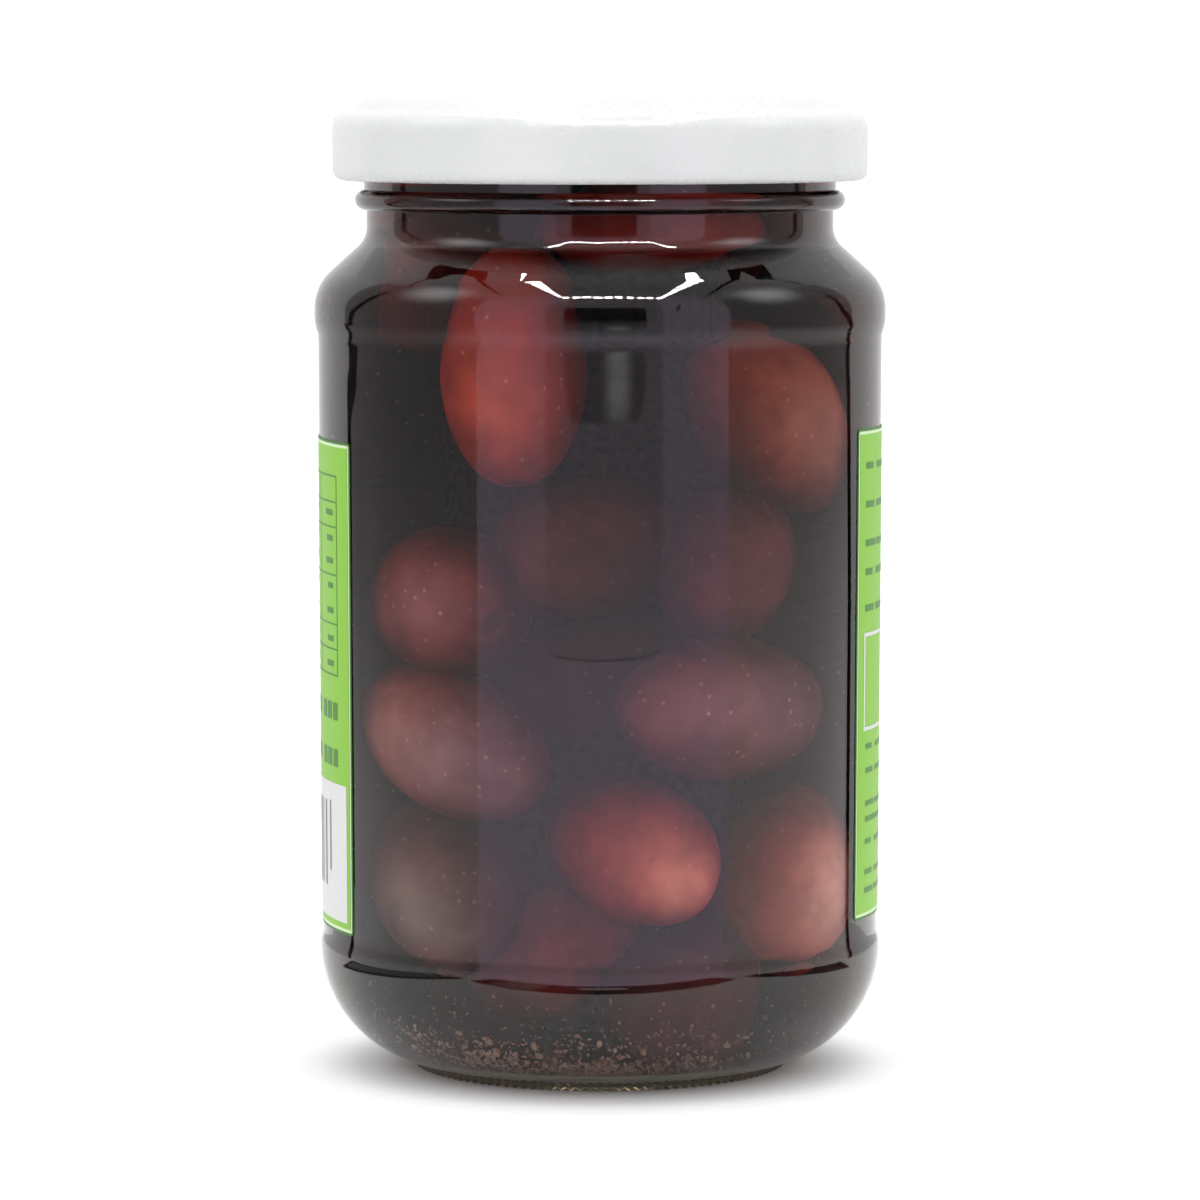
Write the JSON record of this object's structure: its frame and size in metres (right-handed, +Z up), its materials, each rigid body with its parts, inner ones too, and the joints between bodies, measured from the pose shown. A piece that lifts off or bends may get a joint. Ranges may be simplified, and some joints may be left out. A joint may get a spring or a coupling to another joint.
{
  "type": "jar of olives",
  "caption": "Round glass jar of olives in dark brine, shut with a white metal twist-off lid, with a green wrap-round label whose ends leave the front bare.",
  "frame": {"origin": "centre of the bearing ring, on the surface that the jar stands on", "axes": "+Z up along the jar's axis; -Y towards the front, where the gap between the label's ends is; +X to the right seen from the front"},
  "size_m": [0.0716, 0.0716, 0.1218],
  "materials": {
    "glass": "clear, smooth, faintly green where it is thick",
    "lid_lacquer": "glossy white lacquer on tinplate",
    "label_film": "printed film, half gloss",
    "olive_skin": "wet skin, reddish brown to dark brown"
  },
  "bodies": {
    "root": {"glass_jar": "glass", "lid": "lid_lacquer", "label": "label_film", "olives": "olive_skin"}
  },
  "joints": []
}
